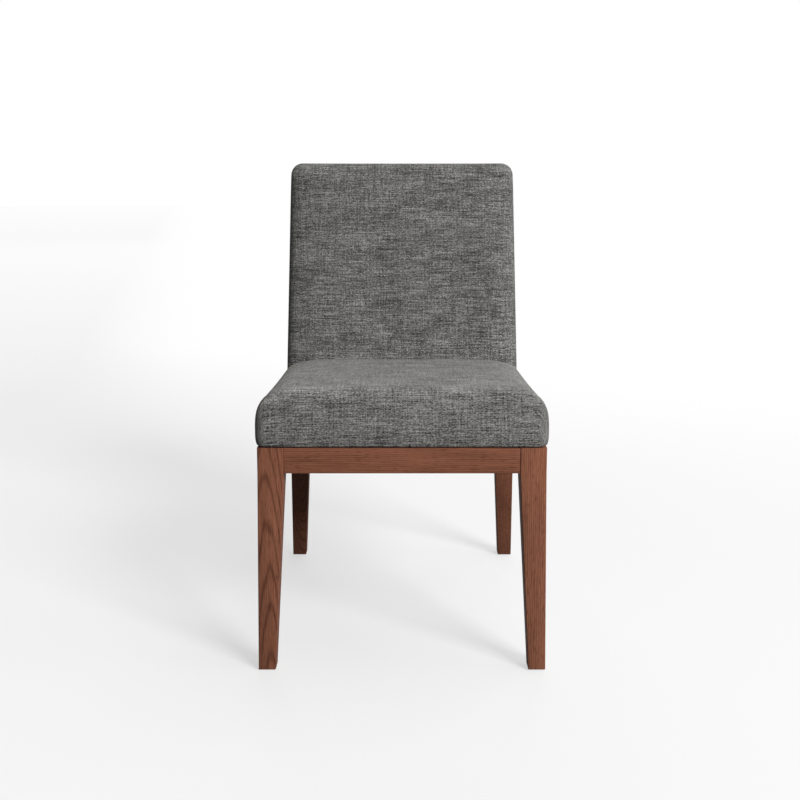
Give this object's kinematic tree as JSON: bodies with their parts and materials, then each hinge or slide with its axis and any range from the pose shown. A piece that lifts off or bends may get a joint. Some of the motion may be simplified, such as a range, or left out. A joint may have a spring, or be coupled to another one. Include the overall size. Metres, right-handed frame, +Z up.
{
  "type": "parsons chair",
  "caption": "Upholstered dining chair with a straight leaning back, a thick crowned seat and a low wooden base on tapered legs.",
  "frame": {"origin": "on the floor, under the middle of the chair's bounding box", "axes": "+Z up, the front faces -Y, +X to the right as seen from the front"},
  "size_m": [0.486, 0.6568, 0.8633],
  "materials": {
    "stained_wood": "reddish-brown stain under a satin lacquer, open grain",
    "plain_wood": "planed, unfinished",
    "plywood": "sanded, unfinished",
    "upholstery_fabric": "dark-grey melange weave",
    "foam": "open-cell upholstery foam",
    "wadding": "bonded polyester wadding",
    "elastic_webbing": "woven elastic",
    "dust_cloth": "thin non-woven cloth",
    "zinc_steel": "zinc-plated",
    "nylon": "moulded"
  },
  "bodies": {
    "root": {"front_leg_left": "stained_wood", "front_leg_right": "stained_wood", "rear_leg_left": "stained_wood", "rear_leg_right": "stained_wood", "front_apron": "stained_wood", "rear_apron": "stained_wood", "side_apron_left": "stained_wood", "side_apron_right": "stained_wood", "corner_block_front_left": "plain_wood", "corner_block_front_right": "plain_wood", "corner_block_rear_left": "plain_wood", "corner_block_rear_right": "plain_wood", "cross_apron_screw_front_left": "zinc_steel", "cross_apron_screw_front_right": "zinc_steel", "cross_apron_screw_rear_left": "zinc_steel", "cross_apron_screw_rear_right": "zinc_steel", "side_apron_screw_front_left": "zinc_steel", "side_apron_screw_front_right": "zinc_steel", "side_apron_screw_rear_left": "zinc_steel", "side_apron_screw_rear_right": "zinc_steel", "seat_screw_front_left": "zinc_steel", "seat_screw_front_right": "zinc_steel", "seat_screw_rear_left": "zinc_steel", "seat_screw_rear_right": "zinc_steel", "floor_glide_front_left": "nylon", "floor_glide_front_right": "nylon", "floor_glide_rear_left": "nylon", "floor_glide_rear_right": "nylon", "seat_board": "plywood", "seat_foam": "foam", "seat_cover": "upholstery_fabric", "dust_cover": "dust_cloth", "back_top_rail": "plain_wood", "back_bottom_rail": "plain_wood", "back_strap_level_1": "elastic_webbing", "back_strap_level_2": "elastic_webbing", "back_strap_level_3": "elastic_webbing", "back_strap_upright_1": "elastic_webbing", "back_strap_upright_2": "elastic_webbing", "back_strap_upright_3": "elastic_webbing", "back_foam": "foam", "back_rear_pad": "wadding", "back_cover": "upholstery_fabric", "outside_back_panel": "upholstery_fabric"}
  },
  "joints": []
}
